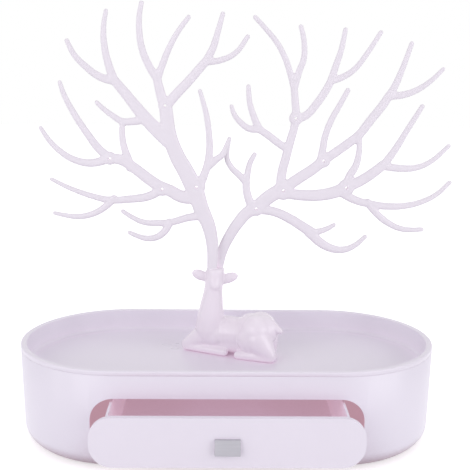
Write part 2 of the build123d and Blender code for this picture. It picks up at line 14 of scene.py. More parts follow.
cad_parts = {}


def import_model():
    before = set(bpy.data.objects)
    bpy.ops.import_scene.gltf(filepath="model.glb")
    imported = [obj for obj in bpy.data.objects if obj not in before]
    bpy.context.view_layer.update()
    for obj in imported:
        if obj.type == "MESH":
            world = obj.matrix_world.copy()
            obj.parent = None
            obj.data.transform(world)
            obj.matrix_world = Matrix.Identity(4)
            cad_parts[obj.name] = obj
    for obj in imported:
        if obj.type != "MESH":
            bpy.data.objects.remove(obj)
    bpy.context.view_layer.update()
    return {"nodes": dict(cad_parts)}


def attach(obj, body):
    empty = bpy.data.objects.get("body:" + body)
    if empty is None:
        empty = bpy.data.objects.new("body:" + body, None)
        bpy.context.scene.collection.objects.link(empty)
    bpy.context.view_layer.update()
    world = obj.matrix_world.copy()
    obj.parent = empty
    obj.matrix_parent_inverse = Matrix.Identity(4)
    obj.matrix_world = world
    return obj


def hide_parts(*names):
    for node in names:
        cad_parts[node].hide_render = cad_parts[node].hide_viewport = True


LOG = logging.getLogger("jewellery_stand")
MM = 0.001
# How far a cutter reaches past the surface that it goes through, in millimetres.
CUT_PAST = 10.0
# Steps round each half-round end of the base.
END_STEPS = 72
# Points of a sweep closer than this are one point, in millimetres.
WELD = 0.002
# Two heights closer than this are the same, in metres.
LEVEL = 1e-6
Point = tuple[float, float]
Colour = tuple[float, float, float]


class Slot(Enum):
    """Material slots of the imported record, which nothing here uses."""

    BODY = "body_plastic"
    ANTLER = "antler_plastic"
    PULL = "pull_metal"


class Coat(Enum):
    """Finishes of the pieces."""

    SHELL = "shell"
    TUB = "tub"
    DISH = "dish"
    DEER = "deer"
    ANTLER = "antler"
    RUNNER = "runner"
    PULL = "pull"
    FOOT = "foot"
    SCREW = "screw"


# ---------------------------------------------------------------- finishes
def new_nodes(name: str) -> tuple[bpy.types.Material, bpy.types.NodeTree, bpy.types.Node]:
    """Starts a node material.

    Args:
        name: the material's name.

    Returns:
        The material, its node tree and its Principled shader.
    """
    material = bpy.data.materials.new(name)
    material.use_nodes = True
    tree = material.node_tree
    return material, tree, tree.nodes["Principled BSDF"]


def feed(tree: bpy.types.NodeTree, socket: bpy.types.NodeSocket, value: object) -> None:
    """Links another node's socket to an input, or sets the input's own value.

    Args:
        tree: the node tree.
        socket: the input.
        value: an output socket, or a number or colour.
    """
    if isinstance(value, bpy.types.NodeSocket):
        tree.links.new(value, socket)
    else:
        socket.default_value = value


def add_node(tree: bpy.types.NodeTree, kind: str, *feeds: object, **values: object) -> bpy.types.Node:
    """Adds a node, sets its properties and feeds its sockets.

    Args:
        tree: the node tree.
        kind: the node's type name, without the ShaderNode prefix.
        feeds: what goes into the first sockets, in order.
        values: property names, or socket names with their spaces as underscores.

    Returns:
        The new node.
    """
    node = tree.nodes.new("ShaderNode" + kind)
    for key, value in values.items():
        if hasattr(node, key):
            setattr(node, key, value)
        else:
            feed(tree, node.inputs[key.replace("_", " ")], value)
    for socket, value in zip(node.inputs, feeds):
        feed(tree, socket, value)
    return node


def two_tone(
    tree: bpy.types.NodeTree, amount: bpy.types.NodeSocket, *stops: tuple[float, Colour]
) -> bpy.types.NodeSocket:
    """Blends between two colours.

    Args:
        tree: the node tree.
        amount: the value that picks the place between them.
        stops: two pairs of a place and its colour.

    Returns:
        The blended colour.
    """
    ramp = add_node(tree, "ValToRGB", amount)
    for mark, (place, colour) in zip(ramp.color_ramp.elements, stops):
        mark.position = place
        mark.color = (*colour, 1.0)
    return ramp.outputs["Color"]


@dataclass(frozen=True)
class MouldedPlastic:
    """Pale moulded plastic with painted shade and a painted glow where other walls are near.

    reach is how far round a point other walls count for the ambient occlusion that masks the painted shade
    and glow, in metres. deep is the painted shade colour, which the base colour turns to where walls are
    near. painted_glow_colour is a painted glow, emitted there as if this thin plastic gave back light bounced
    inside it; painted_glow_inside_only keeps it to the surfaces that face the base's middle line or up.
    painted_shade_range and glow are the ambient occlusion values at which the painted shade and the painted
    glow are full, and the values at which they are gone.
    """

    name: str
    colour: Colour
    # Painted shade: the colour that the base colour turns to where other walls are near.
    deep: Colour
    roughness: float
    # Reach of the ambient occlusion that masks the painted shade and glow.
    reach: float = 0.02
    # Painted glow: colour emitted where other walls are near, standing in for light bounced inside the
    # plastic.
    painted_glow_colour: Colour = (0.1, 0.075, 0.09)
    # Keeps the painted glow to surfaces facing the base's middle line or up.
    painted_glow_inside_only: bool = False
    half_straight: float = 0.065
    mottle: float = 0.015
    cloud_scale: float = 22.0
    grain_scale: float = 900.0
    # Ambient occlusion at which the painted shade is full, and at which it is gone.
    painted_shade_range: Point = (0.05, 0.5)
    # Ambient occlusion at which the painted glow is full, and at which it is gone.
    glow: Point = (0.35, 0.75)
    ior: float = 1.49

    def build(self) -> bpy.types.Material:
        """Makes the node material.

        Returns:
            The material.
        """
        material, tree, shader = new_nodes(self.name)
        place = add_node(tree, "TexCoord")
        spot = place.outputs["Object"]
        clouds = add_node(tree, "TexNoise", spot, Scale=self.cloud_scale, Detail=3.0).outputs["Fac"]
        drift = add_node(tree, "MapRange", clouds, To_Min=1.0 - self.mottle, To_Max=1.0 + self.mottle)
        rough = add_node(
            tree, "MapRange", clouds, To_Min=self.roughness - 0.03, To_Max=self.roughness + 0.05
        )
        # Ambient occlusion masks the painted shade and the painted glow.
        painted_shade_and_glow_mask = add_node(tree, "AmbientOcclusion", samples=8, Distance=self.reach).outputs["AO"]
        # Painted shade: darker, pinker colour where other walls are near, times a random mottle.
        shade = two_tone(tree, painted_shade_and_glow_mask, (self.painted_shade_range[0], self.deep), (self.painted_shade_range[1], self.colour))
        mottle_and_painted_shade = add_node(tree, "VectorMath", shade, operation="SCALE", Scale=drift.outputs["Result"])
        grain = add_node(tree, "TexNoise", spot, Scale=self.grain_scale, Detail=2.0)
        bump = add_node(tree, "Bump", Strength=0.04, Distance=0.0002, Height=grain.outputs["Fac"])
        # Painted glow: emission where walls are near, standing in for light bounced inside the thin plastic.
        through = add_node(tree, "MapRange", painted_shade_and_glow_mask, *self.glow, To_Min=1.0, To_Max=0.0)
        painted_glow_strength = through.outputs["Result"]
        if self.painted_glow_inside_only:
            painted_glow_strength = self.painted_glow_facing_in(tree, place, painted_glow_strength)
        feed(tree, shader.inputs["Base Color"], mottle_and_painted_shade.outputs[0])
        feed(tree, shader.inputs["Normal"], bump.outputs["Normal"])
        feed(tree, shader.inputs["Roughness"], rough.outputs["Result"])
        # Painted glow: its strength and colour.
        feed(tree, shader.inputs["Emission Strength"], painted_glow_strength)
        shader.inputs["Emission Color"].default_value = (*self.painted_glow_colour, 1.0)
        shader.inputs["IOR"].default_value = self.ior
        return material

    def painted_glow_facing_in(
        self, tree: bpy.types.NodeTree, place: bpy.types.Node, painted_glow_strength: bpy.types.NodeSocket
    ) -> bpy.types.NodeSocket:
        """Keeps the painted glow to surfaces that face the base's middle line or up.

        Args:
            tree: the material's nodes.
            place: the texture coordinates.
            painted_glow_strength: strength of the painted glow.

        Returns:
            The strength, 0 on the outside of the base.
        """
        split = add_node(tree, "SeparateXYZ", place.outputs["Object"])
        along = split.outputs["X"]
        held = add_node(tree, "Clamp", along, Min=-self.half_straight, Max=self.half_straight)
        past = add_node(tree, "Math", along, held.outputs["Result"], operation="SUBTRACT")
        outward = add_node(tree, "CombineXYZ", past.outputs[0], split.outputs["Y"], Z=-0.02)
        facing = add_node(
            tree, "VectorMath", outward.outputs[0], place.outputs["Normal"], operation="DOT_PRODUCT"
        )
        fade = add_node(
            tree, "MapRange", facing.outputs["Value"], From_Min=-0.002, From_Max=0.0, To_Min=1.0, To_Max=0.0
        )
        return add_node(tree, "Math", painted_glow_strength, fade.outputs["Result"], operation="MULTIPLY").outputs[0]


@dataclass(frozen=True)
class SatinMetal:
    """Grey metal with fine brushing along one axis."""

    name: str
    colour: Colour
    roughness: float
    metallic: float
    brush: tuple[float, float, float] = (30.0, 900.0, 900.0)

    def build(self) -> bpy.types.Material:
        """Makes the node material.

        Returns:
            The material.
        """
        material, tree, shader = new_nodes(self.name)
        place = add_node(tree, "TexCoord")
        stretch = add_node(tree, "Mapping", place.outputs["Object"], Scale=self.brush)
        streaks = add_node(tree, "TexNoise", stretch.outputs["Vector"], Scale=1.0, Detail=4.0).outputs["Fac"]
        dark = tuple(0.86 * c for c in self.colour)
        bright = tuple(min(1.0, 1.1 * c) for c in self.colour)
        rough = add_node(
            tree, "MapRange", streaks, To_Min=self.roughness - 0.08, To_Max=self.roughness + 0.08
        )
        bump = add_node(tree, "Bump", Strength=0.08, Distance=0.0001, Height=streaks)
        feed(tree, shader.inputs["Base Color"], two_tone(tree, streaks, (0.0, dark), (1.0, bright)))
        feed(tree, shader.inputs["Roughness"], rough.outputs["Result"])
        feed(tree, shader.inputs["Normal"], bump.outputs["Normal"])
        shader.inputs["Metallic"].default_value = self.metallic
        return material


@dataclass(frozen=True)
class SoftRubber:
    """Matt rubber with a fine speckle."""

    name: str
    colour: Colour

    def build(self) -> bpy.types.Material:
        """Makes the node material.

        Returns:
            The material.
        """
        material, tree, shader = new_nodes(self.name)
        place = add_node(tree, "TexCoord")
        speckle = add_node(tree, "TexNoise", place.outputs["Object"], Scale=1500.0, Detail=2.0)
        dark = tuple(0.85 * c for c in self.colour)
        shade = two_tone(tree, speckle.outputs["Fac"], (0.0, dark), (1.0, self.colour))
        feed(tree, shader.inputs["Base Color"], shade)
        shader.inputs["Roughness"].default_value = 0.85
        return material


# In each moulded plastic the second colour is the painted shade where other walls are near; the colour after
# the two numbers, or the default one, is its painted glow, and the shell's last flag keeps that glow inside
# the base.
FINISHES = {
    Coat.SHELL: MouldedPlastic(
        "lilac_plastic", (0.79, 0.746, 0.83), (0.36, 0.22, 0.28), 0.3, 0.08, (0.30, 0.20, 0.227), True
    ),
    Coat.TUB: MouldedPlastic(
        "lilac_plastic_tub", (0.79, 0.746, 0.83), (0.36, 0.22, 0.28), 0.3, 0.05, (0.255, 0.175, 0.203)
    ),
    Coat.DISH: MouldedPlastic("lilac_plastic_dish", (0.79, 0.742, 0.822), (0.74, 0.64, 0.73), 0.28),
    Coat.DEER: MouldedPlastic(
        "lilac_plastic_deer", (0.835, 0.764, 0.836), (0.76, 0.66, 0.74), 0.24, 0.01
    ),
    Coat.ANTLER: MouldedPlastic(
        "antler_plastic", (0.79, 0.742, 0.802), (0.76, 0.68, 0.75), 0.34, 0.006, (0.2, 0.17, 0.19)
    ),
    Coat.RUNNER: MouldedPlastic(
        "runner_plastic", (0.70, 0.62, 0.68), (0.36, 0.22, 0.28), 0.5, 0.08, (0.27, 0.18, 0.21)
    ),
    Coat.PULL: SatinMetal("pull_metal", (0.48, 0.47, 0.51), 0.5, 0.35),
    Coat.FOOT: SoftRubber("foot_rubber", (0.62, 0.58, 0.62)),
    Coat.SCREW: SatinMetal("screw_steel", (0.52, 0.52, 0.54), 0.3, 1.0, (400.0, 400.0, 400.0)),
}
MATERIALS: dict[Coat, bpy.types.Material] = {}


# ---------------------------------------------------------------- mesh helpers
def put(shape: bmesh.types.BMesh, name: str) -> bpy.types.Object:
    """Turns a bmesh into an object of the scene.

    Args:
        shape: the bmesh, which is freed.
        name: the object's name.

    Returns:
        The new object, smooth shaded.
    """
    bmesh.ops.recalc_face_normals(shape, faces=shape.faces)
    mesh = bpy.data.meshes.new(name)
    shape.to_mesh(mesh)
    shape.free()
    mesh.shade_smooth()
    thing = bpy.data.objects.new(name, mesh)
    bpy.context.scene.collection.objects.link(thing)
    return thing


def settle(thing: bpy.types.Object) -> bpy.types.Object:
    """Applies an object's modifiers to its mesh.

    Args:
        thing: a mesh or curve object.

    Returns:
        A mesh object of the same name with no modifiers.
    """
    bpy.context.view_layer.update()
    graph = bpy.context.evaluated_depsgraph_get()
    mesh = bpy.data.meshes.new_from_object(thing.evaluated_get(graph))
    name = thing.name
    bpy.data.objects.remove(thing)
    mesh.name = name
    solid = bpy.data.objects.new(name, mesh)
    bpy.context.scene.collection.objects.link(solid)
    return solid


def combine(
    body: bpy.types.Object, tool: bpy.types.Object, operation: str, solver: str = "EXACT"
) -> bpy.types.Object:
    """Cuts, joins or intersects two meshes.

    Args:
        body: the mesh that stays.
        tool: the other mesh, which is removed.
        operation: DIFFERENCE, UNION or INTERSECT.
        solver: EXACT, or MANIFOLD for a large closed mesh.

    Returns:
        The combined mesh object.
    """
    step = body.modifiers.new("combine", "BOOLEAN")
    step.object = tool
    step.operation = operation
    step.solver = solver
    made = settle(body)
    bpy.data.objects.remove(tool)
    return made


def soften(thing: bpy.types.Object, width: float, segments: int, angle: float) -> bpy.types.Object:
    """Rounds a mesh's sharp edges.

    Args:
        thing: the mesh object.
        width: radius in millimetres.
        segments: steps round each edge.
        angle: edges sharper than this many degrees are rounded.

    Returns:
        The rounded mesh object.
    """
    step = thing.modifiers.new("soften", "BEVEL")
    step.width = width * MM
    step.segments = segments
    step.limit_method = "ANGLE"
    step.angle_limit = math.radians(angle)
    step.harden_normals = True
    step.miter_outer = "MITER_ARC"
    return settle(thing)


def finish_piece(thing: bpy.types.Object, coat: Coat, body: str, *nodes: str) -> bpy.types.Object:
    """Dresses a piece, fixes it to a CAD body and hides the CAD nodes that it replaces.

    Args:
        thing: the piece.
        coat: its finish.
        body: the CAD body that it moves with.
        nodes: the CAD nodes that it replaces.

    Returns:
        The same piece.
    """
    thing.data.materials.clear()
    thing.data.materials.append(MATERIALS[coat])
    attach(thing, body)
    if nodes:
        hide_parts(*nodes)
    LOG.info("%s: %d faces", thing.name, len(thing.data.polygons))
    return thing


def block(width: float, depth: float, height: float) -> bmesh.types.BMesh:
    """Makes a plain block round the origin.

    Args:
        width: along X, in millimetres.
        depth: along Y.
        height: along Z.

    Returns:
        The block in metres.
    """
    shape = bmesh.new()
    bmesh.ops.create_cube(shape, size=MM)
    bmesh.ops.scale(shape, vec=(width, depth, height), verts=shape.verts)
    return shape


def add_block(shape: bmesh.types.BMesh, centre: Vector, size: tuple[float, float, float]) -> None:
    """Adds a block to a shape.

    Args:
        shape: the bmesh that takes it.
        centre: its middle, in millimetres.
        size: its width, depth and height.
    """
    place = Matrix.Translation(centre * MM) @ Matrix.Diagonal((*size, 1.0))
    bmesh.ops.create_cube(shape, size=MM, matrix=place)


def add_post(
    shape: bmesh.types.BMesh, centre: Vector, radius: float, height: float,
    segments: int = 32, lying: bool = False,
) -> None:
    """Adds a round post.

    Args:
        shape: the bmesh that takes it.
        centre: its middle, in millimetres.
        radius: its radius.
        height: its length.
        segments: its number of sides.
        lying: whether it runs along Y instead of Z.
    """
    place = Matrix.Translation(centre * MM)
    if lying:
        place @= Matrix.Rotation(math.radians(90), 4, "X")
    bmesh.ops.create_cone(
        shape, cap_ends=True, segments=segments, radius1=radius * MM, radius2=radius * MM,
        depth=height * MM, matrix=place,
    )


def round_edges(shape: bmesh.types.BMesh, axis: int, radius: float, steps: int, side: int = 0) -> None:
    """Rounds a block's edges along one axis.

    Args:
        shape: the block.
        axis: 0, 1 or 2, the direction of the edges.
        radius: in millimetres.
        steps: segments of each round.
        side: -1 for the front edges only, 1 for the back ones only, 0 for all.
    """
    along = [
        e for e in shape.edges
        if abs((e.verts[0].co - e.verts[1].co).normalized()[axis]) > 0.9 and e.verts[0].co.y * side >= 0
    ]
    bmesh.ops.bevel(
        shape, geom=along, offset=radius * MM, segments=steps, profile=0.5, affect="EDGES", material=-1
    )


def swept_round_ends(profile: list[Point], half_straight: float) -> bmesh.types.BMesh:
    """Sweeps a profile round a long outline with two half-round ends.

    Args:
        profile: points (distance from the end's centre line, height) in millimetres. A point
            at distance 0 lies on the middle line.
        half_straight: half the length of the straight stretch, in millimetres.

    Returns:
        The swept surface in metres.
    """
    shape = bmesh.new()
    rims = []
    for side in (1, -1):
        points = [shape.verts.new((side * half_straight * MM, -side * r * MM, z * MM)) for r, z in profile]
        edges = [shape.edges.new(pair) for pair in zip(points, points[1:])]
        turned = bmesh.ops.spin(
            shape, geom=[*points, *edges], cent=(side * half_straight * MM, 0, 0), axis=(0, 0, 1),
            angle=math.pi, steps=END_STEPS, use_duplicate=False,
        )
        last = [part for part in turned["geom_last"] if isinstance(part, bmesh.types.BMEdge)]
        rims.append((edges, last))
    for start, end in ((rims[0][1], rims[1][0]), (rims[1][1], rims[0][0])):
        bmesh.ops.bridge_loops(shape, edges=[*start, *end])
    bmesh.ops.remove_doubles(shape, verts=shape.verts, dist=WELD * MM)
    return shape


def arc(centre: Point, radius: float, start: float, end: float, steps: int) -> list[Point]:
    """Points along an arc of a profile, angles in degrees."""
    angles = [math.radians(start + (end - start) * step / steps) for step in range(steps + 1)]
    return [(centre[0] + radius * math.cos(a), centre[1] + radius * math.sin(a)) for a in angles]


# ---------------------------------------------------------------- base
@dataclass
class Shell:
    """Outside of the base: a long box with half-round ends whose sides lean in downwards."""

    length: float = 260.0
    depth: float = 130.0
    top: float = 59.7
    bottom: float = 1.0
    draft: float = 1.4
    corner: float = 11.0
    wall: float = 2.0
    groove: float = 0.2

    @property
    def half_straight(self) -> float:
        """Half the straight stretch between the round ends."""
        return (self.length - self.depth) / 2

    def radius(self, height: float, inset: float = 0.0) -> float:
        """Distance from the middle line to the side at a height."""
        return self.depth / 2 - (self.top - height) * math.tan(math.radians(self.draft)) - inset

    def side(self, inset: float, top_height: float) -> list[Point]:
        """The side's line from the underside's edge up to a height, in from the outside.

        Args:
            inset: how far inside the outer surface.
            top_height: where it ends.

        Returns:
            Profile points, bottom first.
        """
        round_by = self.corner - inset
        low = self.bottom + inset
        middle = (self.radius(low + round_by, inset) - round_by, low + round_by)
        return [*arc(middle, round_by, -90, -self.draft, 12), (self.radius(top_height, inset), top_height)]

    def solid(self) -> bmesh.types.BMesh:
        """The base's outside as a filled form, from which the drawer front is cut."""
        profile = [(0, self.bottom), *self.side(0, self.top), (0, self.top)]
        return swept_round_ends(profile, self.half_straight)


@dataclass
class Opening:
    """Rounded opening of the drawer in the front of the casing."""

    length: float = 159.0
    height: float = 31.5
    corner: float = 14.0
    middle: float = 30.15

    def cutter(
        self, near: float, far: float, end: float = 0, gap: float = 0, drop: float = 0
    ) -> bmesh.types.BMesh:
        """A rounded prism through the front.

        Args:
            near: Y of its front end.
            far: Y of its back end.
            end: how much shorter than the opening, at each end.
            gap: how much lower than the opening, above and below.
            drop: how far its middle lies below the opening's.

        Returns:
            The prism in metres.
        """
        shape = block(self.length - 2 * end, far - near, self.height - 2 * gap)
        round_edges(shape, axis=1, radius=self.corner - gap, steps=18)
        place = Vector((0, (far + near) / 2, self.middle - drop)) * MM
        bmesh.ops.translate(shape, vec=place, verts=shape.verts)
        return shape


@dataclass
class PostSet:
    """Four round screw posts inside the base, one near each corner."""

    diameter: float = 9.0
    x: float = 97.0
    y: float = 27.0

    def build(self, low: float, high: float, name: str) -> bpy.types.Object:
        """Makes the posts between two heights.

        Args:
            low: height of their lower ends, in millimetres.
            high: height of their upper ends.
            name: the object's name.

        Returns:
            The four posts as one object.
        """
        shape = bmesh.new()
        for x in (-self.x, self.x):
            for y in (-self.y, self.y):
                add_post(shape, Vector((x, y, (low + high) / 2)), self.diameter / 2, high - low)
        return put(shape, name)


@dataclass
class Casing:
    """Lower shell with the drawer opening and four screw posts inside."""

    shell: Shell
    opening: Opening
    posts: PostSet
    post_top: float = 30.0
    cut_depth: float = 12.0
    edge: float = 0.45

    def build(self) -> bpy.types.Object:
        """Makes the casing.

        Returns:
            The finished piece.
        """
        shell = self.shell
        outer = shell.side(0, shell.top - shell.groove)
        inner = shell.side(shell.wall, shell.top)
        lip = [(shell.radius(shell.top) - shell.groove, shell.top)]
        profile = [(0, shell.bottom), *outer, *lip, *reversed(inner), (0, shell.bottom + shell.wall)]
        body = put(swept_round_ends(profile, shell.half_straight), "casing_shell")
        front = -shell.depth / 2
        cutter = put(self.opening.cutter(front - CUT_PAST, front + self.cut_depth), "opening_cutter")
        body = combine(body, cutter, "DIFFERENCE")
        body = combine(body, self.posts.build(shell.bottom + shell.wall / 2, self.post_top, "posts"), "UNION")
        body = soften(body, self.edge, 3, 50)
        return finish_piece(body, Coat.SHELL, "base", "casing")


@dataclass
class Tray:
    """Sunken tray that closes the base, with its rim, wall, floor and posts below."""

    shell: Shell
    posts: PostSet
    top: float = 62.5
    rim_width: float = 3.8
    rim_round: float = 0.9
    inner_round: float = 0.7
    floor: float = 48.5
    under: float = 46.5
    cove: float = 2.5
    skirt: float = 62.53
    post_bottom: float = 30.0
    post_root: float = 1.0

    def build(self) -> bpy.types.Object:
        """Makes the tray.

        Returns:
            The finished piece.
        """
        body = put(swept_round_ends(self.profile(), self.shell.half_straight), "tray_dish")
        posts = self.posts.build(self.post_bottom, self.under + self.post_root, "tray_posts")
        body = combine(body, posts, "UNION")
        body.data.set_sharp_from_angle(angle=math.radians(50))
        return finish_piece(body, Coat.DISH, "base", "tray")

    def profile(self) -> list[Point]:
        """The dish's cross-section, from the middle of its floor over the rim and back.

        Returns:
            Profile points (distance from the middle line, height).
        """
        outside = self.shell.depth / 2
        inside = outside - self.rim_width
        seam = self.shell.top
        groove = self.shell.groove
        return [
            (0, self.floor),
            *arc((inside - self.cove, self.floor + self.cove), self.cove, -90, 0, 8),
            *arc((inside + self.inner_round, self.top - self.inner_round), self.inner_round, 180, 90, 6),
            *arc((outside - self.rim_round, self.top - self.rim_round), self.rim_round, 90, 0, 6),
            (outside, seam + groove),
            (outside - groove, seam),
            (self.skirt, seam),
            (self.skirt, self.under),
            (0, self.under),
        ]


# ---------------------------------------------------------------- drawer
@dataclass
class Drawer:
    """Drawer front, tub and pull, standing part way open."""

    shell: Shell
    opening: Opening
    shown: float = 24.0
    end_gap: float = 2.4
    gap: float = 1.0
    drop: float = 0.6
    front_back: float = -61.1
    tub_width: float = 135.5
    tub_depth: float = 110.0
    tub_height: float = 28.2
    tub_bottom: float = 15.5
    tub_wall: float = 1.5
    tub_corner: float = 8.0
    tub_front_corner: float = 2.5
    tub_edge: float = 2.4
    front_round: float = 0.6
    tub_round: float = 0.3
    pull_round: float = 0.35
    lug_root: float = 0.6
    lug_reach: float = 2.6
    lug_height: float = 3.0
    lug_length: float = 6.0
    lug_back: float = 37.0
    lug_bottom: float = 25.5
    pull_width: float = 14.4
    pull_height: float = 9.0
    pull_thickness: float = 1.8
    pull_stand_off: float = 1.4
    pull_centre: float = 27.7
    pull_stud: float = 5.0

    def build(self) -> list[bpy.types.Object]:
        """Makes the drawer's three visible pieces."""
        return [self.front(), self.tub(), self.pull()]

    def front(self) -> bpy.types.Object:
        """The front plate, cut from the base's own outside.

        Returns:
            The finished piece.
        """
        plate = put(self.shell.solid(), "drawer_front_plate")
        near = -self.shell.depth / 2 - CUT_PAST
        outline = self.opening.cutter(near, self.front_back, self.end_gap, self.gap, self.drop)
        plate = combine(plate, put(outline, "cutter"), "INTERSECT")
        plate.data.transform(Matrix.Translation((0, -self.shown * MM, 0)))
        plate = soften(plate, self.front_round, 4, 50)
        return finish_piece(plate, Coat.DISH, "drawer", "drawer_front")

    def tub(self) -> bpy.types.Object:
        """The open tub behind the front, with its two stop lugs.

        Returns:
            The finished piece.
        """
        shape = block(self.tub_width, self.tub_depth, self.tub_height)
        round_edges(shape, axis=2, radius=self.tub_front_corner, steps=12, side=-1)
        round_edges(shape, axis=2, radius=self.tub_corner, steps=12, side=1)
        low = min(v.co.z for v in shape.verts)
        rim = [e for e in shape.edges if all(abs(v.co.z - low) < LEVEL for v in e.verts)]
        bmesh.ops.bevel(
            shape, geom=rim, offset=self.tub_edge * MM, segments=8, profile=0.5, affect="EDGES", material=-1
        )
        lid = [f for f in shape.faces if f.calc_center_median().z > self.tub_height / 2 * MM - LEVEL]
        bmesh.ops.delete(shape, geom=lid, context="FACES_ONLY")
        middle = self.front_back - self.shown + self.tub_depth / 2
        bmesh.ops.translate(
            shape, vec=(0, middle * MM, (self.tub_bottom + self.tub_height / 2) * MM), verts=shape.verts
        )
        tub = put(shape, "drawer_tub_shell")
        wall = tub.modifiers.new("wall", "SOLIDIFY")
        wall.thickness = self.tub_wall * MM
        wall.offset = -1.0
        wall.use_even_offset = True
        tub = settle(tub)
        lugs = bmesh.new()
        for side in (-1, 1):
            centre = Vector((
                side * (self.tub_width + self.lug_reach - self.lug_root) / 2,
                middle + self.tub_depth / 2 - self.lug_back + self.lug_length / 2,
                self.lug_bottom + self.lug_height / 2,
            ))
            add_block(lugs, centre, (self.lug_reach + self.lug_root, self.lug_length, self.lug_height))
        tub = combine(tub, put(lugs, "lugs"), "UNION")
        tub = soften(tub, self.tub_round, 2, 60)
        return finish_piece(tub, Coat.TUB, "drawer", "drawer_tub")

    def pull(self) -> bpy.types.Object:
        """The small plate that stands off the front along its lower half.

        Returns:
            The finished piece.
        """
        high, low = self.pull_centre + self.pull_height / 2, self.pull_centre - self.pull_height / 2
        lean = (self.shell.top - high) * math.tan(math.radians(self.shell.draft))
        face = -self.shell.depth / 2 + lean - self.shown
        outline = [
            (face, high),
            (face, self.pull_centre),
            (face - self.pull_stand_off, self.pull_centre - self.pull_height / 4),
            (face - self.pull_stand_off, low),
            (face - self.pull_stand_off - self.pull_thickness, low),
            (face - self.pull_thickness, high),
        ]
        shape = bmesh.new()
        corners = [shape.verts.new((-self.pull_width / 2 * MM, y * MM, z * MM)) for y, z in outline]
        side = shape.faces.new(corners)
        pushed = bmesh.ops.extrude_face_region(shape, geom=[side])
        moved = [part for part in pushed["geom"] if isinstance(part, bmesh.types.BMVert)]
        bmesh.ops.translate(shape, vec=(self.pull_width * MM, 0, 0), verts=moved)
        plate = soften(put(shape, "drawer_pull_plate"), self.pull_round, 4, 30)
        stud = bmesh.new()
        start = face - self.pull_thickness / 2
        reach = self.front_back - self.shown - start
        middle = Vector((0, start + reach / 2, self.pull_centre))
        add_post(stud, middle, self.pull_stud / 2, reach, lying=True)
        plate = combine(plate, put(stud, "stud"), "UNION")
        plate.data.set_sharp_from_angle(angle=math.radians(40))
        return finish_piece(plate, Coat.PULL, "drawer", "drawer_pull")


# ---------------------------------------------------------------- deer
def ball(shape: bmesh.types.BMesh, centre: Vector, radius: float, finer: int = 3) -> None:
    """Adds a ball, in millimetres.

    Args:
        shape: the bmesh that takes it.
        centre: its middle.
        radius: its radius.
        finer: rounds of subdivision.
    """
    place = Matrix.Translation(centre * MM)
    bmesh.ops.create_icosphere(shape, subdivisions=finer, radius=radius * MM, matrix=place)


def muscle(
    shape: bmesh.types.BMesh, start: Vector, end: Vector, start_radius: float, end_radius: float
) -> None:
    """Adds a tapering limb with round ends.

    Args:
        shape: the bmesh that takes it.
        start: middle of its first ball, in millimetres.
        end: middle of its second ball.
        start_radius: radius of the first ball.
        end_radius: radius of the second ball.
    """
    ball(shape, start, start_radius, 4)
    ball(shape, end, end_radius, 4)
    run = end - start
    lean = (start_radius - end_radius) / run.length
    narrow = math.sqrt(1 - lean * lean)
    low = start + run.normalized() * start_radius * lean
    high = end + run.normalized() * end_radius * lean
    turn = run.to_track_quat("Z", "Y").to_matrix().to_4x4()
    bmesh.ops.create_cone(
        shape, cap_ends=True, segments=28, radius1=start_radius * narrow * MM,
        radius2=end_radius * narrow * MM, depth=(high - low).length * MM,
        matrix=Matrix.Translation((low + high) / 2 * MM) @ turn,
    )


def fuse(thing: bpy.types.Object, voxel: float, smooth: int) -> bpy.types.Object:
    """Melts overlapping closed forms into one smooth skin.

    Args:
        thing: the mesh of overlapping forms.
        voxel: mesh size in millimetres.
        smooth: rounds of smoothing.

    Returns:
        The fused mesh object.
    """
    skin = thing.modifiers.new("fuse", "REMESH")
    skin.mode = "VOXEL"
    skin.voxel_size = voxel * MM
    skin.use_smooth_shade = True
    ease = thing.modifiers.new("ease", "SMOOTH")
    ease.factor = 0.5
    ease.iterations = smooth
    return settle(thing)


@dataclass
class Head:
    """Place of the deer's head, which the neck, ears and antlers share."""

    x: float = -9.0
    y: float = 12.25
    top: float = 105.0


